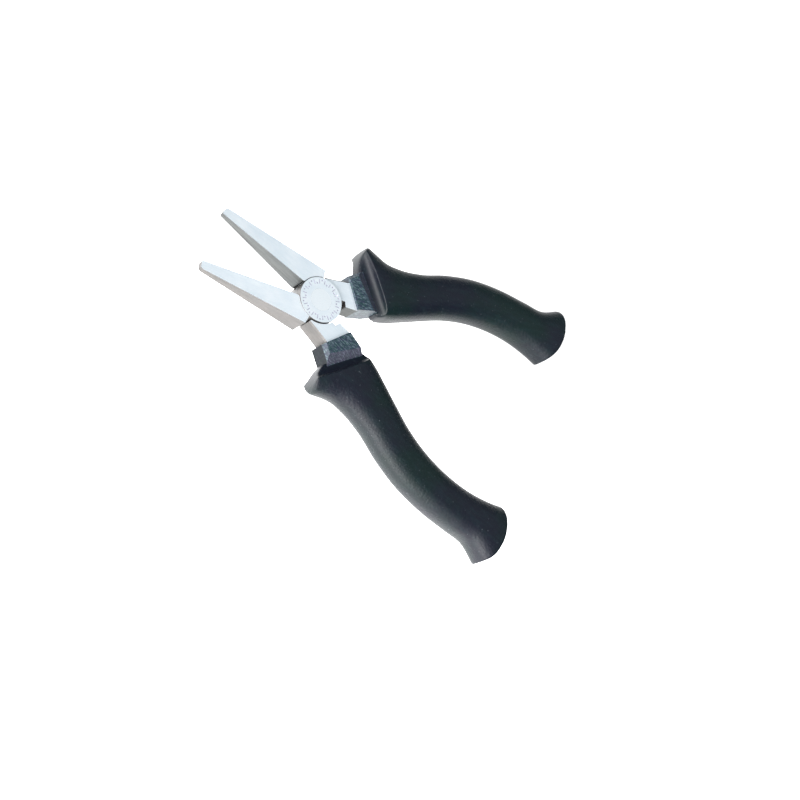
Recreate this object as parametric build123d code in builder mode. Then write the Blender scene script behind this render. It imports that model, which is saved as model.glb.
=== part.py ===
"""Flat nose pliers for jewellery making: a crossed lap joint of two equal forged
halves, turned about a flush rivet, each half carrying a moulded collar and an outer grip.

Frame: the tool lies flat. +X points to the jaw tips, +Y is to the side, +Z is up, and
Z = 0 is the surface that it rests on. The rest pose is open, symmetric about the XZ plane.
Each half is drawn closed, on a local plane whose origin is the pivot, with its jaw on
local +y and its handle on local -y. The back half is the same forging turned over.
"""

from build123d import *
import math
import os

os.makedirs("parts", exist_ok=True)

# ---------------------------------------------------------------- driving dimensions (mm)
half_open = 13.0        # rest opening of each half from closed, degrees
pivot_x = 25.4          # pivot ahead of the middle of the tool
mid_z = 6.7            # height of the middle plane of the tool

boss_r = 7.9            # joint disc
boss_top = 4.25         # half thickness over the joint discs
lap_gap = 0.05          # each lap face stands this far off the middle plane
arc_gap = 0.25          # radial room round the disc
rivet_r = 2.6
rivet_head_r = 3.9
rivet_head_h = 1.0
run_gap = 0.05          # running clearance of the rivet in the back half

jaw_len = 42.6          # pivot to tip
jaw_tip_w = 3.0
jaw_root_w = 10.0       # outer edge at the back shoulder
jaw_root_x = 4.6
jaw_tip_t = 1.0         # half thickness at the tip
jaw_root_t = 4.1        # half thickness at the root
jaw_relief = 0.95       # gripping face stands back at its root end, meets at the tip
jaw_face_x = 8.5        # root end of the gripping face, just clear of the joint disc
tip_gap = 0.05

tang_t = 3.5            # half thickness of the tang
shank_t = 2.2           # half thickness of the shank inside the grip
tang_bevel = 0.5

collar_t = 4.5          # half thickness of the collar
collar_bevel = 1.3
tongue_t = 3.4          # half thickness of the collar's hidden tongue

# plan of the tang, outer side then inner side, from the joint to the collar's front
tang_outer = [(-1.2, -9.0), (-5.2, -9.6), (-9.4, -10.4), (-13.0, -11.8)]
tang_inner = [(-16.5, -4.2), (-14.3, -1.2), (-9.9, -1.0), (-9.4, -2.9), (-3.0, -2.9)]

# plan of the shank inside the handle
shank_outer = [(-9.0, -9.9), (-18.0, -13.3), (-27.0, -16.4), (-37.0, -18.9), (-48.0, -22.0),
               (-58.0, -24.3), (-67.0, -24.8)]
shank_inner = [(-67.0, -20.6), (-58.0, -19.8), (-48.0, -17.2), (-37.0, -13.6), (-27.0, -10.2),
               (-18.0, -6.4), (-9.0, -3.6)]

# plan of the collar and of the tongue that holds it inside the grip
collar_plan = [(-9.2, -12.3), (-14.4, -1.4), (-23.8, -3.9), (-25.0, -14.0), (-17.0, -17.9)]
tongue_plan = [(-18.0, -15.0), (-19.0, -5.6), (-26.0, -7.2), (-38.0, -11.6), (-38.0, -21.0),
               (-26.0, -18.6)]

# grip stations: outer point, inner point, half thickness, squareness of the oval on its
# outer and on its inner side
stations = [
    ((-9.5, -30.4), (-15.0, -1.6), 5.8, 2.1, 5.0),
    ((-12.5, -29.2), (-18.5, -1.8), 5.9, 2.1, 5.0),
    ((-18.0, -26.4), (-24.0, -2.6), 6.0, 2.1, 4.4),
    ((-23.5, -23.8), (-29.0, -3.6), 6.0, 2.2, 3.4),
    ((-30.0, -23.3), (-34.5, -5.6), 5.9, 2.3, 2.9),
    ((-38.5, -24.6), (-42.0, -8.6), 5.8, 2.4, 2.6),
    ((-48.5, -27.9), (-51.0, -12.0), 5.8, 2.4, 2.4),
    ((-59.5, -30.2), (-60.5, -14.2), 5.8, 2.4, 2.4),
    ((-71.5, -30.5), (-71.0, -14.8), 6.0, 2.4, 2.4),
    ((-82.5, -29.4), (-81.0, -13.6), 6.2, 2.4, 2.4),
    ((-90.5, -28.6), (-88.0, -11.6), 6.4, 2.5, 2.5),
    ((-96.5, -30.8), (-93.0, -9.4), 6.6, 2.6, 2.6),
    ((-104.0, -35.0), (-100.0, -5.0), 6.6, 2.7, 2.7),
]

# plan limits of the grip: the thumb guard's front and the foot's butt end
guard_front = [(-23.6, 0.5), (-22.2, -3.0), (-16.6, -11.4), (-14.1, -15.4), (-13.5, -19.0),
               (-13.9, -22.4), (-15.0, -25.2), (-16.7, -27.0), (-18.8, -27.8)]
foot_butt = [(-96.4, -33.6), (-97.4, -31.6), (-99.0, -28.6), (-99.6, -25.0), (-99.4, -21.0),
             (-98.2, -16.4), (-96.2, -12.6), (-94.0, -10.0), (-91.5, -8.0)]
scoop_angle = 29.0      # the rim over the guard's front leans round by this much in plan
scoop_rim = (-17.2, -18.7)
# profile of the scoop ahead of the rim: forward distance, height above the middle plane
scoop_profile = [(-0.3, 9.0), (0.0, 5.6), (0.4, 4.3), (1.2, 3.3), (2.4, 2.8), (4.4, 2.5)]


def half_plane(side):
    """Local plane of one half at rest: +1 is the front half, -1 the back half."""
    turn = math.radians(half_open)
    return Plane(
        origin=(pivot_x, 0, mid_z),
        x_dir=(math.cos(turn), side * math.sin(turn), 0),
        z_dir=(0, 0, side),
    )


def side_plane(base):
    """The half's own XZ plane."""
    return Plane(origin=base.origin, x_dir=base.x_dir, z_dir=-base.y_dir)


def station_plane(base, outer, inner):
    """Plane across the grip through two plan points, with its x along the width."""
    a = base.from_local_coords((outer[0], outer[1], 0))
    b = base.from_local_coords((inner[0], inner[1], 0))
    across = (b - a).normalized()
    return Plane(origin=(a + b) * 0.5, x_dir=across, z_dir=across.cross(base.z_dir))


def oval_points(half_w, half_t, square_out, square_in, count=20):
    """Points of a squarish oval, its outer side at -x."""
    points = []
    for i in range(count):
        a = 2 * math.pi * i / count
        c = math.cos(a)
        s = math.sin(a)
        power = 2 / (square_in if c > 0 else square_out)
        x = half_w * math.copysign(abs(c) ** power, c)
        y = half_t * math.copysign(abs(s) ** power, s)
        points.append((x, y))
    return points


def tang_block(base):
    """Tang, bevelled along its outer side above and below."""
    with BuildPart() as tang:
        with BuildSketch(base):
            with BuildLine():
                Polyline(*tang_outer, *tang_inner, close=True)
            make_face()
        extrude(amount=tang_t, both=True)
        bevels = []
        for edge in tang.edges():
            a = base.to_local_coords(edge @ 0)
            b = base.to_local_coords(edge @ 1)
            if a.Y < -8.9 and b.Y < -8.9 and abs(a.Z - b.Z) < 0.01:
                bevels.append(edge)
        chamfer(bevels, length=tang_bevel)
    return tang


def forged_half(base):
    """Jaw, joint disc, tang and hidden shank, one forging."""
    with BuildPart() as half:
        # jaw, tapered in plan and in thickness
        with BuildSketch(base):
            with BuildLine():
                Polyline(
                    (jaw_len - 0.4, tip_gap),
                    (jaw_len, tip_gap + 0.4),
                    (jaw_len, jaw_tip_w - 0.6),
                    (jaw_len - 0.8, jaw_tip_w + 0.1),
                    (jaw_root_x, jaw_root_w),
                    (3.3, 6.8),
                    (1.0, 2.4),
                    (7.0, 2.0),
                    (jaw_face_x, jaw_relief),
                    close=True,
                )
            make_face()
        extrude(amount=jaw_root_t + 1, both=True)
        with BuildSketch(side_plane(base)):
            with BuildLine():
                Polyline(
                    (jaw_len + 1, jaw_tip_t),
                    (jaw_root_x, jaw_root_t),
                    (0, jaw_root_t),
                    (0, -jaw_root_t),
                    (jaw_root_x, -jaw_root_t),
                    (jaw_len + 1, -jaw_tip_t),
                    close=True,
                )
            make_face()
        extrude(amount=20, both=True, mode=Mode.INTERSECT)
        # tang, then the thinner shank inside the handle
        add(tang_block(base).part)
        with BuildSketch(base):
            with BuildLine():
                Polyline(*shank_outer, *shank_inner, close=True)
            make_face()
        extrude(amount=shank_t, both=True)
        # room for the other half's disc, on the far side of the middle plane
        with BuildSketch(base.offset(lap_gap)):
            Circle(boss_r + arc_gap)
        extrude(amount=-20, mode=Mode.SUBTRACT)
        # joint disc on the near side
        with BuildSketch(base.offset(lap_gap)):
            Circle(boss_r)
        extrude(amount=boss_top - lap_gap)
    return half


def collar(base, steel):
    """Moulded collar round the tang, with a tongue running back inside the grip."""
    with BuildPart() as sleeve:
        with BuildSketch(base):
            with BuildLine():
                Polyline(*collar_plan, close=True)
            make_face()
        extrude(amount=collar_t, both=True)
        bevels = []
        for edge in sleeve.edges():
            a = base.to_local_coords(edge @ 0)
            b = base.to_local_coords(edge @ 1)
            outer = a.Y < -12.2 and b.Y < -12.2 and max(a.X, b.X) > -9.5
            if outer and abs(a.Z - b.Z) < 0.01:
                bevels.append(edge)
        chamfer(bevels, length=collar_bevel)
        with BuildSketch(base):
            with BuildLine():
                Polyline(*tongue_plan, close=True)
            make_face()
        extrude(amount=tongue_t, both=True)
        add(steel, mode=Mode.SUBTRACT)
    return sleeve


def grip(base, steel, sleeve):
    """Outer grip: a squarish oval swept back, with a thumb guard and a flared foot."""
    with BuildPart() as body:
        for outer, inner, half_t, square_out, square_in in stations:
            half_w = math.dist(outer, inner) / 2
            with BuildSketch(station_plane(base, outer, inner)):
                with BuildLine():
                    points = oval_points(half_w, half_t, square_out, square_in)
                    Spline(*points, periodic=True)
                make_face()
        loft()
        # the guard's front and the foot's butt in plan
        with BuildSketch(base):
            with BuildLine():
                front = Spline(*guard_front)
                butt = Spline(*foot_butt)
                Polyline(front @ 1, (-30, -40), (-80, -45), butt @ 0)
                Polyline(butt @ 1, (-60, 0), front @ 0)
            make_face()
        extrude(amount=20, both=True, mode=Mode.INTERSECT)
        # the guard's front is scooped out above and below, leaving a blunt lip
        lean = math.radians(scoop_angle)
        forward = (base.x_dir * math.cos(lean) + base.y_dir * math.sin(lean)).normalized()
        along = base.z_dir.cross(forward)
        rim = base.from_local_coords((scoop_rim[0], scoop_rim[1], 0))
        for up in (1, -1):
            profile = [(f, up * z) for f, z in scoop_profile]
            with BuildSketch(Plane(origin=rim, x_dir=forward, z_dir=-along)):
                with BuildLine():
                    curve = Spline(*profile)
                    Polyline(curve @ 1, (30, profile[-1][1]), (30, up * 30), (-0.3, up * 30),
                             curve @ 0)
                make_face()
            extrude(amount=60, both=True, mode=Mode.SUBTRACT)
        add(steel, mode=Mode.SUBTRACT)
        add(sleeve, mode=Mode.SUBTRACT)
    return body


def save(part, name):
    part.label = name
    export_step(part, f"parts/{name}.step")


front_base = half_plane(1)
back_base = half_plane(-1)

# ---------------------------------------------------------------- front half (upper disc)
with BuildPart() as front_half:
    add(forged_half(front_base).part)
    with Locations(front_base.offset(boss_top)):
        CounterBoreHole(rivet_r, rivet_head_r, rivet_head_h, depth=20)
save(front_half.part, "front_half")

# ---------------------------------------------------------------- back half (lower disc)
with BuildPart() as back_half:
    add(forged_half(back_base).part)
    with Locations(back_base.offset(boss_top)):
        CounterBoreHole(
            rivet_r + run_gap, rivet_head_r + run_gap, rivet_head_h + run_gap, depth=20
        )
save(back_half.part, "back_half")

# ---------------------------------------------------------------- rivet, flush both sides
with BuildPart() as pivot_rivet:
    with BuildSketch(front_base):
        Circle(rivet_r)
    extrude(amount=boss_top, both=True)
    with BuildSketch(front_base.offset(boss_top)):
        Circle(rivet_head_r)
    extrude(amount=-rivet_head_h)
    with BuildSketch(front_base.offset(-boss_top)):
        Circle(rivet_head_r)
    extrude(amount=rivet_head_h)
save(pivot_rivet.part, "pivot_rivet")

# ---------------------------------------------------------------- collars and grips
with BuildPart() as front_collar:
    add(collar(front_base, front_half.part).part)
save(front_collar.part, "front_collar")

with BuildPart() as back_collar:
    add(collar(back_base, back_half.part).part)
save(back_collar.part, "back_collar")

with BuildPart() as front_grip:
    add(grip(front_base, front_half.part, front_collar.part).part)
save(front_grip.part, "front_grip")

with BuildPart() as back_grip:
    add(grip(back_base, back_half.part, back_collar.part).part)
save(back_grip.part, "back_grip")

# ---------------------------------------------------------------- overall size
whole = Compound(children=[
    front_half.part, back_half.part, pivot_rivet.part,
    front_collar.part, back_collar.part, front_grip.part, back_grip.part,
])
box = whole.bounding_box()
print("x %.2f %.2f  y %.2f %.2f  z %.2f %.2f" % (
    box.min.X, box.max.X, box.min.Y, box.max.Y, box.min.Z, box.max.Z))
print("pivot_x for a centred box: %.2f" % (pivot_x - (box.min.X + box.max.X) / 2))
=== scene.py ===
"""Flat nose pliers: visual model and studio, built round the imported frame.

Every piece is modelled in millimetres on the plane of its own half, with the pivot at the
origin, +X to the jaw tip and +Z out of that half's joint disc, then placed in the frame.
"""

import math

import bmesh
import bpy
from mathutils import Euler, Matrix, Vector

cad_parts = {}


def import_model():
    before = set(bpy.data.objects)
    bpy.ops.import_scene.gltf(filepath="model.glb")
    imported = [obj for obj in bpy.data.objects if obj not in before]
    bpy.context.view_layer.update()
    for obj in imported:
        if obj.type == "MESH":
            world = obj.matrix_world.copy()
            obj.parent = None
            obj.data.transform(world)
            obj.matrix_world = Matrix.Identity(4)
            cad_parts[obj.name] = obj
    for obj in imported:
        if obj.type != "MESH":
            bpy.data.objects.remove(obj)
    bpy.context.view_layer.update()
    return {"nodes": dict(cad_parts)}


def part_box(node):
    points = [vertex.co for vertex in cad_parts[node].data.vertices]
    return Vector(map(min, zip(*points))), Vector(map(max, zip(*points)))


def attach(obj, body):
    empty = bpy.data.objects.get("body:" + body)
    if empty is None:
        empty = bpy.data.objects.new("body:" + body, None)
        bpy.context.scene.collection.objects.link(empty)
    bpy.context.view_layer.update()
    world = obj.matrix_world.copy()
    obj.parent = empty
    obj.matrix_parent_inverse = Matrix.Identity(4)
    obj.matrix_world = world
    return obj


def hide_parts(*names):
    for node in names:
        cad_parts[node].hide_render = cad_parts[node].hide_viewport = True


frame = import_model()

MM = 0.001
HALF_OPEN = math.radians(13.0)          # rest opening of each half
BOSS_TOP = 4.25                         # top of the joint disc over the middle plane
RIVET_HEAD_R = 3.9
RIVET_HEAD_H = 1.0
RIVET_R = 2.6
RIVET_EDGE = 0.03                       # rounding of its head
RIVET_GAP = 0.01                        # round its head
COLLAR_T = 4.5                          # half thickness of the collar
SHANK_T = 2.2                           # half thickness of the steel inside the grip

STEEL_BEVEL = 0.18
COLLAR_BEVEL = 0.22
FLAT_Z = 0.85                           # least |z| of the normal of a flat face
TANG_X = -8                             # the tang lies behind this
JAW_X = 4                               # the jaw lies ahead of this
MARK_COUNT = 40                         # strokes and dots round the joint, by turns
MARK_R = 6.35

low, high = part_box("pivot_rivet")
PIVOT = (low + high) / 2


# ------------------------------------------------------------------ placing and mesh tools
def half_matrix(side):
    """Local millimetres of one half (+1 front, -1 back) to the frame's metres."""
    x_dir = Vector((math.cos(HALF_OPEN), side * math.sin(HALF_OPEN), 0))
    z_dir = Vector((0, 0, side))
    y_dir = z_dir.cross(x_dir)
    turn = Matrix((x_dir, y_dir, z_dir)).transposed().to_4x4()
    return Matrix.Translation(PIVOT) @ turn @ Matrix.Scale(MM, 4)


def new_object(name, mesh):
    obj = bpy.data.objects.new(name, mesh)
    bpy.context.scene.collection.objects.link(obj)
    return obj


def from_bmesh(name, bm):
    mesh = bpy.data.meshes.new(name)
    bmesh.ops.recalc_face_normals(bm, faces=bm.faces)
    bm.to_mesh(mesh)
    bm.free()
    return new_object(name, mesh)


def bake(obj):
    """Turns the object's modifiers into its own mesh."""
    graph = bpy.context.evaluated_depsgraph_get()
    graph.update()
    mesh = bpy.data.meshes.new_from_object(obj.evaluated_get(graph), depsgraph=graph)
    obj.modifiers.clear()
    old = obj.data
    obj.data = mesh
    bpy.data.meshes.remove(old)


def boolean(obj, cutter, operation):
    mod = obj.modifiers.new("cut", "BOOLEAN")
    mod.operation = operation
    mod.solver = "EXACT"
    mod.object = cutter
    bake(obj)
    bpy.data.objects.remove(cutter)


def bevel(obj, width, segments, angle):
    mod = obj.modifiers.new("bevel", "BEVEL")
    mod.width = width
    mod.segments = segments
    mod.limit_method = "ANGLE"
    mod.angle_limit = math.radians(angle)
    mod.miter_outer = "MITER_ARC"
    mod.use_clamp_overlap = True
    bake(obj)


def cad_copy(node, name, side):
    """A CAD node's shape, welded and cleaned, in local millimetres."""
    bm = bmesh.new()
    bm.from_mesh(frame["nodes"][node].data)
    bmesh.ops.transform(bm, matrix=half_matrix(side).inverted(), verts=bm.verts)
    bmesh.ops.remove_doubles(bm, verts=bm.verts, dist=0.002)
    bmesh.ops.dissolve_limit(
        bm, angle_limit=math.radians(0.6), verts=bm.verts, edges=bm.edges
    )
    return from_bmesh(name, bm)


def prism(name, outline, low_z, high_z):
    """A plan outline between two heights."""
    bm = bmesh.new()
    bottom = [bm.verts.new((x, y, low_z)) for x, y in outline]
    top = [bm.verts.new((x, y, high_z)) for x, y in outline]
    bm.faces.new(bottom[::-1])
    bm.faces.new(top)
    count = len(outline)
    for i in range(count):
        j = (i + 1) % count
        bm.faces.new((bottom[i], bottom[j], top[j], top[i]))
    return from_bmesh(name, bm)


def smooth_shade(obj, angle, weighted=False):
    obj.data.shade_smooth()
    obj.data.set_sharp_from_angle(angle=math.radians(angle))
    if weighted:
        mod = obj.modifiers.new("flats", "WEIGHTED_NORMAL")
        mod.keep_sharp = True
        mod.weight = 100


# ------------------------------------------------------------------ smooth curves
def curve_through(points, per_span):
    """Points of a smooth curve through the given points, spaced by chord length."""
    points = [Vector(p) for p in points]
    gaps = [(b - a).length for a, b in zip(points, points[1:])]
    slopes = [(b - a) / g for a, b, g in zip(points, points[1:], gaps)]
    inner = [
        (slopes[i] * gaps[i + 1] + slopes[i + 1] * gaps[i]) / (gaps[i] + gaps[i + 1])
        for i in range(len(gaps) - 1)
    ]
    first = slopes[0] * 1.5 - inner[0] * 0.5
    last = slopes[-1] * 1.5 - inner[-1] * 0.5
    tangents = [first, *inner, last]
    result = []
    for i, gap in enumerate(gaps):
        a, b = points[i], points[i + 1]
        for k in range(per_span):
            t = k / per_span
            result.append(
                a * (2 * t**3 - 3 * t**2 + 1)
                + tangents[i] * gap * (t**3 - 2 * t**2 + t)
                + b * (3 * t**2 - 2 * t**3)
                + tangents[i + 1] * gap * (t**3 - t**2)
            )
    result.append(points[-1])
    return result


# ------------------------------------------------------------------ materials
def add(tree, kind, inputs=None, **settings):
    node = tree.nodes.new("ShaderNode" + kind)
    for key, value in settings.items():
        setattr(node, key, value)
    for key, value in (inputs or {}).items():
        socket = node.inputs[key]
        if isinstance(value, bpy.types.NodeSocket):
            tree.links.new(value, socket)
        else:
            socket.default_value = value
    return node


def ramp(tree, factor, *stops):
    """A colour ramp of (position, colour) stops."""
    node = add(tree, "ValToRGB", {"Fac": factor})
    elements = node.color_ramp.elements
    while len(elements) < len(stops):
        elements.new(0.5)
    for element, (position, colour) in zip(elements, stops):
        element.position = position
        element.color = (*colour, 1)
    return node.outputs["Color"]


def span(tree, value, low, high):
    """Maps a 0 to 1 value to a range."""
    node = add(tree, "MapRange", {"Value": value, "To Min": low, "To Max": high})
    return node.outputs["Result"]


def mix(tree, factor, a, b, blend="MIX"):
    """Mixes two colours, each a socket or a fixed colour."""
    node = add(tree, "Mix", data_type="RGBA", blend_type=blend)
    for index, value in ((0, factor), (6, a), (7, b)):
        if isinstance(value, bpy.types.NodeSocket):
            tree.links.new(value, node.inputs[index])
        else:
            node.inputs[index].default_value = value
    return node.outputs[2]


def noise(tree, vector, scale, detail=2.0, rough=0.5):
    """Noise with features about 1/scale metres across."""
    node = add(
        tree,
        "TexNoise",
        {"Vector": vector, "Scale": scale, "Detail": detail, "Roughness": rough},
    )
    return node.outputs["Fac"]


def local_vector(tree, turn, stretch=(1, 1, 1)):
    """Object coordinates, turned so that X runs along the half, and stretched."""
    coords = add(tree, "TexCoord").outputs["Object"]
    turned = add(
        tree, "Mapping", {"Vector": coords, "Rotation": (0, 0, turn)}, vector_type="POINT"
    ).outputs["Vector"]
    return add(
        tree, "Mapping", {"Vector": turned, "Scale": stretch}, vector_type="POINT"
    ).outputs["Vector"]


def new_material(name, metallic):
    mat = bpy.data.materials.new(name)
    mat.use_nodes = True
    tree = mat.node_tree
    shader = tree.nodes["Principled BSDF"]
    shader.inputs["Metallic"].default_value = metallic
    shader.inputs["IOR"].default_value = 1.5
    return mat, tree, shader


def bump(tree, shader, height, distance):
    node = add(tree, "Bump", {"Height": height, "Distance": distance, "Strength": 1.0})
    tree.links.new(node.outputs["Normal"], shader.inputs["Normal"])


# part of the forging: its light and dark tone, roughness, depth and width (in metres) of
# its fine lines, and metallic
STEEL_FINISHES = (
    ("flat", (0.95, 0.975, 0.99), (0.86, 0.9, 0.93), 0.4, 4e-6, 0.00022, 0.5),
    # flank row: the sides painted darker, painted shade, partly also their forged finish
    ("flank_shade", (0.165, 0.153, 0.145), (0.105, 0.1, 0.094), 0.42, 1.2e-5, 0.0003, 0.85),
    # inner row: the jaws' facing faces painted darker, painted shade between the jaws
    ("inner", (0.14, 0.145, 0.14), (0.062, 0.062, 0.062), 0.42, 1.5e-5, 0.0003, 0.85),
    ("shaded", (0.1, 0.105, 0.1), (0.04, 0.043, 0.04), 0.45, 1.5e-5, 0.0003, 0.85),
)


def steel(name, side, light, dark, rough, grain_depth, line_width, metal):
    """Satin plated steel with fine lines along the half."""
    mat, tree, shader = new_material(name, metal)
    fine = noise(
        tree, local_vector(tree, -side * HALF_OPEN, (0.04, 1, 1)), 1 / line_width, 3.0, 0.6
    )
    broad = noise(
        tree, local_vector(tree, -side * HALF_OPEN, (0.12, 1, 1)), 620.0, 3.0, 0.5
    )
    cloud = noise(tree, local_vector(tree, 0), 160.0, 4.0, 0.55)
    both = add(tree, "Math", {0: fine, 1: broad}, operation="ADD").outputs[0]
    both = add(tree, "Math", {0: both, 1: 0.5}, operation="MULTIPLY").outputs[0]
    tone = ramp(tree, both, (0.3, dark), (0.62, light))
    stain = ramp(tree, cloud, (0.35, (0.9, 0.93, 0.95)), (0.7, (1, 1, 1)))
    tree.links.new(mix(tree, 1.0, tone, stain, "MULTIPLY"), shader.inputs["Base Color"])
    tree.links.new(
        span(tree, both, rough - 0.07, rough + 0.1), shader.inputs["Roughness"]
    )
    bump(tree, shader, both, grain_depth)
    return mat


def mark_steel():
    """Bottom of the engraved marks."""
    mat, tree, shader = new_material("engraved_steel", 0.5)
    grain = noise(tree, local_vector(tree, 0), 5200.0, 2.0)
    tree.links.new(
        ramp(tree, grain, (0.3, (0.42, 0.41, 0.48)), (0.7, (0.72, 0.7, 0.8))),
        shader.inputs["Base Color"],
    )
    shader.inputs["Roughness"].default_value = 0.5
    return mat


def turned_steel():
    """Rivet: faint rings about its own axis."""
    mat, tree, shader = new_material("rivet_steel", 0.5)
    coords = add(tree, "TexCoord").outputs["Object"]
    centred = add(
        tree, "VectorMath", {0: coords, 1: tuple(PIVOT)}, operation="SUBTRACT"
    ).outputs[0]
    flat = add(
        tree, "VectorMath", {0: centred, 1: (1, 1, 0)}, operation="MULTIPLY"
    ).outputs[0]
    radius = add(tree, "VectorMath", {0: flat}, operation="LENGTH").outputs["Value"]
    rings = add(tree, "TexNoise", {"W": radius, "Scale": 3800.0}, noise_dimensions="1D")
    rings = rings.outputs["Fac"]
    speck = noise(tree, centred, 2400.0, 3.0)
    both = add(tree, "Math", {0: rings, 1: speck}, operation="ADD").outputs[0]
    both = add(tree, "Math", {0: both, 1: 0.5}, operation="MULTIPLY").outputs[0]
    tree.links.new(
        ramp(tree, both, (0.3, (0.87, 0.9, 0.92)), (0.65, (0.95, 0.975, 0.98))),
        shader.inputs["Base Color"],
    )
    tree.links.new(span(tree, both, 0.34, 0.46), shader.inputs["Roughness"])
    bump(tree, shader, both, 0.000004)
    return mat


def grip_rubber(name, side):
    """Near black semi-gloss moulding with a fine pebble, smooth where grain is 0."""
    mat, tree, shader = new_material(name, 0.0)
    vec = local_vector(tree, -side * HALF_OPEN)
    grain = add(tree, "Attribute", attribute_name="grain").outputs["Fac"]
    cells = add(
        tree, "TexVoronoi", {"Vector": vec, "Scale": 1300.0}, feature="SMOOTH_F1"
    ).outputs["Distance"]
    fine = noise(tree, vec, 2400.0, 3.0, 0.6)
    patch = noise(tree, vec, 55.0, 3.0, 0.55)
    streak = noise(
        tree, local_vector(tree, -side * HALF_OPEN, (0.25, 1, 1)), 900.0, 3.0
    )
    height = add(tree, "Math", {0: cells, 1: fine}, operation="ADD").outputs[0]
    height = add(tree, "Math", {0: height, 1: grain}, operation="MULTIPLY").outputs[0]
    hue = mix(
        tree,
        ramp(tree, patch, (0.38, (0, 0, 0)), (0.62, (1, 1, 1))),
        (0.0012, 0.009, 0.0085, 1),
        (0.004, 0.005, 0.012, 1),
    )
    pale = ramp(tree, streak, (0.45, (0, 0, 0)), (0.8, (0.25, 0.25, 0.25)))
    colour = mix(tree, pale, hue, (0.01, 0.03, 0.034, 1))
    # pale flecks: painted glints on the pebble
    glint_fleck = ramp(tree, noise(tree, vec, 1700.0, 2.0), (0.7, (0, 0, 0)), (0.76, (1, 1, 1)))
    colour = mix(tree, glint_fleck, colour, (0.08, 0.09, 0.1, 1))
    tree.links.new(colour, shader.inputs["Base Color"])
    tree.links.new(span(tree, fine, 0.3, 0.48), shader.inputs["Roughness"])
    shader.inputs["Specular IOR Level"].default_value = 0.38
    bump(tree, shader, height, 0.00009)
    return mat


# part of the collar: specular level, colour of its streaks (painted glints), its two mottled
# tones
COLLAR_FINISHES = (
    ("top", 0.5, (0.17, 0.24, 0.26, 1), (0.006, 0.032, 0.036, 1), (0.016, 0.022, 0.05, 1)),
    # ramp row: painted lighter, a painted highlight on the ramps
    ("ramp_sheen", 0.5, (0.2, 0.21, 0.26, 1), (0.045, 0.055, 0.07, 1), (0.06, 0.056, 0.088, 1)),
    # side row: painted dark, painted shade on the front and outer side
    ("side", 0.12, (0.02, 0.028, 0.03, 1), (0.002, 0.006, 0.007, 1), (0.005, 0.006, 0.012, 1)),
)


def collar_plastic(name, side, gloss, glint, teal, violet):
    """Blue-black plastic, mottled and lightly streaked along the handle; the light streaks are
    painted glints.
    """
    mat, tree, shader = new_material(name, 0.0)
    streak = noise(
        tree, local_vector(tree, -side * HALF_OPEN, (0.35, 1, 0.6)), 2600.0, 4.0, 0.65
    )
    blotch = noise(tree, local_vector(tree, -side * HALF_OPEN), 900.0, 4.0, 0.6)
    tint = mix(
        tree, ramp(tree, blotch, (0.4, (0, 0, 0)), (0.6, (1, 1, 1))), teal, violet
    )
    bright = ramp(tree, streak, (0.48, (0, 0, 0)), (0.75, (1, 1, 1)))
    colour = mix(tree, bright, tint, glint)
    tree.links.new(colour, shader.inputs["Base Color"])
    tree.links.new(span(tree, streak, 0.3, 0.5), shader.inputs["Roughness"])
    shader.inputs["Specular IOR Level"].default_value = gloss
    bump(tree, shader, streak, 0.00004)
    return mat


# ------------------------------------------------------------------ steel halves
def mark_ring():
    """Short radial strokes and dots round the joint, cut into the disc."""
    stroke = Matrix.Diagonal((1.5, 0.3, 0.16, 1))
    dot_r, dot_depth, dot_shift = 0.3, 0.2, 0.5
    bm = bmesh.new()
    for i in range(MARK_COUNT):
        turn = Matrix.Rotation(2 * math.pi * (i + 0.5) / MARK_COUNT, 4, "Z")
        place = turn @ Matrix.Translation((MARK_R, 0, BOSS_TOP))
        if i % 2:
            bmesh.ops.create_cube(bm, size=1, matrix=place @ stroke)
        else:
            shift = dot_shift if i % 4 else -dot_shift
            bmesh.ops.create_cone(
                bm, cap_ends=True, segments=12, radius1=dot_r, radius2=dot_r, depth=dot_depth,
                matrix=place @ Matrix.Translation((shift, 0, 0)),
            )
    return from_bmesh("marks", bm)


def steel_part(face):
    """Row of STEEL_FINISHES for a face of the forging."""
    if abs(face.normal.z) > FLAT_Z:
        return 0
    if face.center.x < TANG_X and face.normal.y > 0.5:
        return 3
    # the jaws' facing faces: painted shade between the jaws
    if face.center.x > JAW_X and face.normal.y < -0.5:
        return 2
    # the other upright faces, the flanks: painted shade, partly also their forged finish
    return 1


def steel_half(node, name, side):
    """One forging, with the marks on the front one's disc."""
    obj = cad_copy(node, name, side)
    bevel(obj, STEEL_BEVEL, 3, 22)
    obj.data.materials.clear()
    for part, *finish in STEEL_FINISHES:
        obj.data.materials.append(steel(f"{name}_{part}", side, *finish))
    for face in obj.data.polygons:
        face.material_index = steel_part(face)
    if side == 1:
        marks = mark_ring()
        obj.data.materials.append(mark_steel())
        for mat in obj.data.materials:
            marks.data.materials.append(mat)
        for face in marks.data.polygons:
            face.material_index = len(STEEL_FINISHES)
        boolean(obj, marks, "DIFFERENCE")
    smooth_shade(obj, 35, weighted=True)
    return obj


def lathe(name, profile, segments=96):
    """A profile of (radius, height) turned about Z, closed at both ends on the axis."""
    bm = bmesh.new()
    rings = []
    for radius, height in profile:
        if radius == 0:
            rings.append([bm.verts.new((0, 0, height))])
            continue
        rings.append(
            [
                bm.verts.new(
                    (
                        radius * math.cos(2 * math.pi * k / segments),
                        radius * math.sin(2 * math.pi * k / segments),
                        height,
                    )
                )
                for k in range(segments)
            ]
        )
    for a, b in zip(rings, rings[1:]):
        for k in range(segments):
            m = (k + 1) % segments
            if len(a) == 1:
                bm.faces.new((a[0], b[k], b[m]))
            elif len(b) == 1:
                bm.faces.new((a[k], b[0], a[m]))
            else:
                bm.faces.new((a[k], b[k], b[m], a[m]))
    return from_bmesh(name, bm)


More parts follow.
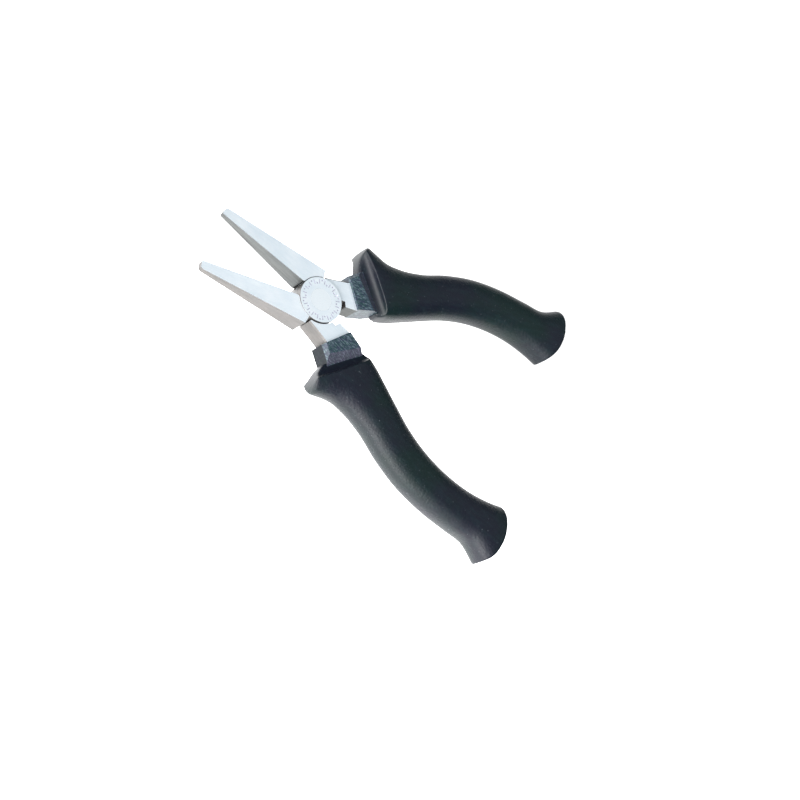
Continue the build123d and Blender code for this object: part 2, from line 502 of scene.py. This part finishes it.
def rivet():
    """The pin with both heads, flush with the discs."""
    edge = RIVET_EDGE
    top = [
        (0, BOSS_TOP),
        (RIVET_HEAD_R - 0.6, BOSS_TOP),
        (RIVET_HEAD_R - edge, BOSS_TOP - 0.01),
        (RIVET_HEAD_R - 0.3 * edge, BOSS_TOP - 0.3 * edge),
        (RIVET_HEAD_R - RIVET_GAP, BOSS_TOP - edge),
        (RIVET_HEAD_R - RIVET_GAP, BOSS_TOP - RIVET_HEAD_H),
        (RIVET_R, BOSS_TOP - RIVET_HEAD_H),
    ]
    bottom = [(r, -z) for r, z in reversed(top)]
    obj = lathe("rivet", top + bottom)
    obj.data.materials.append(turned_steel())
    smooth_shade(obj, 40)
    return obj


# ------------------------------------------------------------------ collars
CREASE = [(-10.6, -16.4), (-20.9, -2.2)]        # the collar's top turns down here
RAMP_END = [(-13.6, -18.6), (-23.0, -3.4)]      # and meets the grip here
RAMP_LOW = 2.7                          # at this half thickness
COLLAR_PLAN = [(-9.2, -12.35), (-14.4, -1.35), (-23.85, -3.8), (-25.05, -14.0),
               (-17.0, -17.95)]
COLLAR_FRONT = [(-9.2, -12.35), (-14.4, -1.35), (-23.05, -3.58), (-14.92, -16.46)]
TONGUE_PLAN = [(-18.0, -15.0), (-19.0, -5.6), (-26.0, -7.2), (-38.0, -11.6), (-38.0, -21.0),
               (-26.0, -18.6)]
SHANK_PLAN = [(-18.0, -13.3), (-27.0, -16.4), (-37.0, -18.9), (-48.0, -22.0),
              (-58.0, -24.3), (-67.0, -24.8), (-67.0, -20.6), (-58.0, -19.8),
              (-48.0, -17.2), (-37.0, -13.6), (-27.0, -10.2), (-18.0, -6.4)]


def ramp_cutter(up):
    """What the ramp takes off the collar's top (up = 1) or bottom (up = -1)."""
    (ax, ay), (bx, by) = CREASE
    (cx, cy), (dx, dy) = RAMP_END
    back_x, back_y = -20, -9            # from the ramp's end to well inside the grip
    clear_z = up * 9
    low_z = up * RAMP_LOW
    points = [
        (ax, ay, up * COLLAR_T),
        (bx, by, up * COLLAR_T),
        (dx, dy, low_z),
        (cx, cy, low_z),
        (dx + back_x, dy + back_y, low_z),
        (cx + back_x, cy + back_y, low_z),
    ]
    bm = bmesh.new()
    base = [bm.verts.new(p) for p in points]
    lid = [bm.verts.new((x, y, clear_z)) for x, y, z in points]
    for loop in ((0, 1, 2, 3), (3, 2, 4, 5)):
        bm.faces.new([base[i] for i in loop])
        bm.faces.new([lid[i] for i in reversed(loop)])
    rim = (0, 1, 2, 4, 5, 3)
    for i, j in zip(rim, rim[1:] + rim[:1]):
        bm.faces.new((base[i], lid[i], lid[j], base[j]))
    return from_bmesh("ramp", bm)


def collar_piece(node, name, side):
    """A collar with its top and bottom ramped down into the grip."""
    obj = cad_copy(node, name, side)
    for up in (1, -1):
        boolean(obj, ramp_cutter(up), "DIFFERENCE")
    bevel(obj, COLLAR_BEVEL, 3, 14)
    obj.data.materials.clear()
    for part, *finish in COLLAR_FINISHES:
        obj.data.materials.append(collar_plastic(f"{name}_{part}", side, *finish))
    for face in obj.data.polygons:
        # the ramps get the lighter row: painted highlight
        if 0.85 < abs(face.normal.z) < 0.99 and face.area > 3:      # the ramps
            face.material_index = 1
        # the front and outer side get the dark row: painted shade
        elif abs(face.normal.z) < 0.5 and face.normal.y < 0.4:      # front and outer side
            face.material_index = 2
    smooth_shade(obj, 35, weighted=True)
    return obj


# ------------------------------------------------------------------ grips
# outer plan point, inner plan point, half thickness, squareness on the outer and inner side
STATIONS = [
    ((-9.5, -30.4), (-15.0, -1.6), 5.8, 2.1, 5.0),
    ((-12.5, -29.2), (-18.5, -1.8), 5.9, 2.1, 5.0),
    ((-18.0, -26.4), (-24.0, -2.6), 6.0, 2.1, 4.4),
    ((-23.5, -23.8), (-29.0, -3.6), 6.0, 2.2, 3.4),
    ((-30.0, -23.3), (-34.5, -5.6), 5.9, 2.3, 2.9),
    ((-38.5, -24.6), (-42.0, -8.6), 5.8, 2.4, 2.6),
    ((-48.5, -27.9), (-51.0, -12.0), 5.8, 2.4, 2.4),
    ((-59.5, -30.2), (-60.5, -14.2), 5.8, 2.4, 2.4),
    ((-71.5, -30.5), (-71.0, -14.8), 6.0, 2.4, 2.4),
    ((-82.5, -29.4), (-81.0, -13.6), 6.2, 2.4, 2.4),
    ((-90.5, -28.6), (-88.0, -11.6), 6.4, 2.5, 2.5),
    ((-96.5, -30.8), (-93.0, -9.4), 6.6, 2.6, 2.6),
    ((-104.0, -35.0), (-100.0, -5.0), 6.6, 2.7, 2.7),
]
GUARD_FRONT = [(-23.6, 0.5), (-22.2, -3.0), (-16.6, -11.4), (-14.1, -15.4), (-13.5, -19.0),
               (-13.9, -22.4), (-15.0, -25.2), (-16.7, -27.0), (-18.8, -27.8)]
FOOT_BUTT = [(-96.4, -33.6), (-97.4, -31.6), (-99.0, -28.6), (-99.6, -25.0),
             (-99.4, -21.0), (-98.2, -16.4), (-96.2, -12.6), (-94.0, -10.0),
             (-91.5, -8.0)]
FOOT_START = -86                        # the foot is smoothed more behind this
GUARD_TIP = Vector((-18.0, -26.6))
VOXEL = 0.22
POCKET_ROOM = 0.03                      # round the collar and shank inside the grip
SCOOP_TURN = math.radians(29.0)         # the rim over the guard's front leans round by this
SCOOP_RIM = Vector((-17.2, -18.7, 0))
# profile of the scoop ahead of the rim: forward distance, height above the middle plane
SCOOP_PROFILE = [(-0.3, 9.0), (0.0, 5.6), (0.4, 4.3), (1.2, 3.3), (2.4, 2.8), (4.4, 2.5)]


def grip_loft():
    """Superellipse sections blended along the handle, closed at both ends."""
    around, per_span = 96, 14
    columns = []
    for k in range(around):
        a = 2 * math.pi * k / around
        c, s = math.cos(a), math.sin(a)
        column = []
        for outer, inner, half_t, square_out, square_in in STATIONS:
            o, i = Vector((*outer, 0)), Vector((*inner, 0))
            middle, reach = (o + i) / 2, (i - o) / 2
            power = 2 / (square_in if c > 0 else square_out)
            p = middle + reach * math.copysign(abs(c) ** power, c)
            p.z = half_t * math.copysign(abs(s) ** power, s)
            column.append(p)
        columns.append(curve_through(column, per_span))
    bm = bmesh.new()
    grid = [[bm.verts.new(p) for p in column] for column in columns]
    rings = len(grid[0])
    for k in range(around):
        m = (k + 1) % around
        for r in range(rings - 1):
            bm.faces.new((grid[k][r], grid[m][r], grid[m][r + 1], grid[k][r + 1]))
    bm.faces.new([grid[k][0] for k in range(around)])
    bm.faces.new([grid[k][-1] for k in reversed(range(around))])
    return from_bmesh("grip", bm)


def scoop_ahead(point):
    """How far a local point is ahead of the scoop's rim."""
    forward = Vector((math.cos(SCOOP_TURN), math.sin(SCOOP_TURN), 0))
    return (point - SCOOP_RIM).dot(forward)


def scoop_cutter(up):
    """What is scooped out of the guard's front, above (up = 1) or below (up = -1)."""
    forward = Vector((math.cos(SCOOP_TURN), math.sin(SCOOP_TURN), 0))
    along = Vector((-forward.y, forward.x, 0))
    profile = [tuple(p) for p in curve_through([Vector(p) for p in SCOOP_PROFILE], 6)]
    profile += [(30, profile[-1][1]), (30, 30), (profile[0][0], 30)]
    bm = bmesh.new()
    sides = []
    for reach in (-60, 60):
        origin = SCOOP_RIM + along * reach
        sides.append(
            [bm.verts.new(origin + forward * f + Vector((0, 0, up * z))) for f, z in profile]
        )
    bm.faces.new(sides[0])
    bm.faces.new(sides[1][::-1])
    for i in range(len(profile)):
        j = (i + 1) % len(profile)
        bm.faces.new((sides[0][i], sides[1][i], sides[1][j], sides[0][j]))
    return from_bmesh("scoop", bm)


def grip_shape():
    """The grip without its inside, rounded over, in local millimetres."""
    obj = grip_loft()
    front = [(p.x, p.y) for p in curve_through([Vector(p) for p in GUARD_FRONT], 8)]
    butt = [(p.x, p.y) for p in curve_through([Vector(p) for p in FOOT_BUTT], 8)]
    beyond_outer, beyond_inner = [(-30, -40), (-80, -45)], [(-60, 0)]    # clear of the loft
    outline = front + beyond_outer + butt + beyond_inner
    boolean(obj, prism("plan", outline, -20, 20), "INTERSECT")
    for up in (1, -1):
        boolean(obj, scoop_cutter(up), "DIFFERENCE")
    mod = obj.modifiers.new("skin", "REMESH")
    mod.mode = "VOXEL"
    mod.voxel_size = VOXEL
    bake(obj)
    foot = obj.vertex_groups.new(name="foot")
    lip = obj.vertex_groups.new(name="lip")
    for vertex in obj.data.vertices:
        at_foot = (FOOT_START - vertex.co.x) / 5
        foot.add([vertex.index], min(max(at_foot, 0), 1), "REPLACE")
        ahead = (scoop_ahead(vertex.co) - 0.6) / 1.5
        near_tip = (4.5 - (vertex.co.xy - GUARD_TIP).length) / 2.5
        lip.add([vertex.index], min(max(ahead, near_tip, 0), 1), "REPLACE")
    for group, rounds in (("", 6), ("foot", 40), ("lip", 130)):
        mod = obj.modifiers.new("smooth " + group, "SMOOTH")
        mod.factor, mod.iterations, mod.vertex_group = 0.5, rounds, group
    bake(obj)
    obj.vertex_groups.clear()
    pockets = (
        (COLLAR_FRONT, COLLAR_T),
        (COLLAR_PLAN, RAMP_LOW),
        (TONGUE_PLAN, RAMP_LOW),
        (SHANK_PLAN, SHANK_T),
    )
    for plan, half_t in pockets:
        half_t += POCKET_ROOM
        boolean(obj, prism("pocket", plan, -half_t, half_t), "DIFFERENCE")
    return obj


def fit_grip(shape, name, side):
    """The grip of one half, grained behind its scooped front."""
    obj = new_object(name, shape.data.copy())
    grain = obj.data.attributes.new("grain", "FLOAT", "POINT")
    for i, vertex in enumerate(obj.data.vertices):
        grain.data[i].value = min(max((-scoop_ahead(vertex.co) - 0.3) / 1.5, 0), 1)
    obj.data.materials.clear()
    obj.data.materials.append(grip_rubber(name + "_rubber", side))
    smooth_shade(obj, 45)
    return obj


# ------------------------------------------------------------------ the pieces
NAMES = {1: "front", -1: "back"}
halves, collars, grips = {}, {}, {}
for side, word in NAMES.items():
    halves[side] = steel_half(word + "_half", "steel_" + word, side)
    collars[side] = collar_piece(word + "_collar", "collar_" + word, side)
shape = grip_shape()
for side, word in NAMES.items():
    grips[side] = fit_grip(shape, "grip_" + word, side)
bpy.data.objects.remove(shape)
pin = rivet()

for side, word in NAMES.items():
    for obj, node, slot in (
        (halves[side], "_half", "forged_steel"),
        (collars[side], "_collar", "collar_plastic"),
        (grips[side], "_grip", "grip_rubber"),
    ):
        obj.data.transform(half_matrix(side))
        obj.data.update()
        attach(obj, word + "_lever")
        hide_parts(word + node)
pin.data.transform(half_matrix(1))
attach(pin, "front_lever")
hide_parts("pivot_rivet")


# ------------------------------------------------------------------ floor, light, camera
LIGHT_SIDE = (0.48, 0.75, 0.45)         # where the sky is brightest
FLOOR_RISE = (0.55, 0.83, 0)            # the floor's glow rises along this
LENS = 75.72                            # mm, on a 36 mm sensor
CAMERA_PLACE = (0.19896, 0.28703, 0.45249)
CAMERA_TURN = (18.887, -33.519, -159.962)       # degrees


def floor():
    """A glowing white table, dim under the front handle, bright toward the jaw tips."""
    bm = bmesh.new()
    bmesh.ops.create_grid(bm, x_segments=2, y_segments=2, size=3.0)
    obj = from_bmesh("floor", bm)
    mat, tree, shader = new_material("floor_paper", 0.0)
    shader.inputs["Base Color"].default_value = (0.25, 0.25, 0.25, 1)
    shader.inputs["Roughness"].default_value = 0.9
    shader.inputs["Specular IOR Level"].default_value = 0.1
    shader.inputs["Emission Color"].default_value = (1, 1, 1, 1)
    place = add(tree, "TexCoord").outputs["Object"]
    across = add(
        tree, "VectorMath", {0: place, 1: FLOOR_RISE}, operation="DOT_PRODUCT"
    ).outputs["Value"]
    glow = add(
        tree,
        "MapRange",
        {"Value": across, "From Min": -0.07, "From Max": 0.03, "To Min": 1.02, "To Max": 3.0},
        interpolation_type="SMOOTHSTEP",
    )
    tree.links.new(glow.outputs["Result"], shader.inputs["Emission Strength"])
    obj.data.materials.append(mat)


def area_light(name, place, target, size, power, colour=(1, 1, 1)):
    data = bpy.data.lights.new(name, "AREA")
    data.shape = "RECTANGLE"
    data.size, data.size_y = size
    data.energy = power
    data.color = colour
    obj = bpy.data.objects.new(name, data)
    bpy.context.scene.collection.objects.link(obj)
    obj.location = place
    aim = Vector(target) - Vector(place)
    obj.rotation_euler = aim.to_track_quat("-Z", "Y").to_euler()


def world():
    """Bright on the side of the jaw tips and the back handle, dark elsewhere."""
    data = bpy.data.worlds.new("studio")
    bpy.context.scene.world = data
    data.use_nodes = True
    tree = data.node_tree
    background = tree.nodes["Background"]
    direction = add(tree, "TexCoord").outputs["Generated"]
    toward = add(
        tree, "VectorMath", {0: direction, 1: LIGHT_SIDE}, operation="DOT_PRODUCT"
    ).outputs["Value"]
    tint = ramp(
        tree, toward, (0.2, (0.03, 0.045, 0.05)), (0.5, (0.07, 0.08, 0.1)),
        (0.78, (0.75, 0.76, 0.82)), (0.92, (1, 1, 1)),
    )
    tree.links.new(tint, background.inputs["Color"])
    background.inputs["Strength"].default_value = 3.2


floor()
world()
area_light("key", (0.52, 0.7, 0.4), (0, 0, 0), (1.1, 0.6), 9.0)
area_light("top", (-0.4, -0.5, 0.95), (0, 0, 0), (0.8, 0.8), 1.15, (0.92, 0.99, 1.0))

camera_data = bpy.data.cameras.new("camera")
camera_data.lens = LENS
camera_data.sensor_width = 36
camera = bpy.data.objects.new("camera", camera_data)
bpy.context.scene.collection.objects.link(camera)
camera.location = CAMERA_PLACE
camera.rotation_euler = Euler([math.radians(a) for a in CAMERA_TURN], "XYZ")
bpy.context.scene.camera = camera
bpy.context.scene.view_settings.view_transform = "Standard"
bpy.context.scene.view_settings.look = "None"
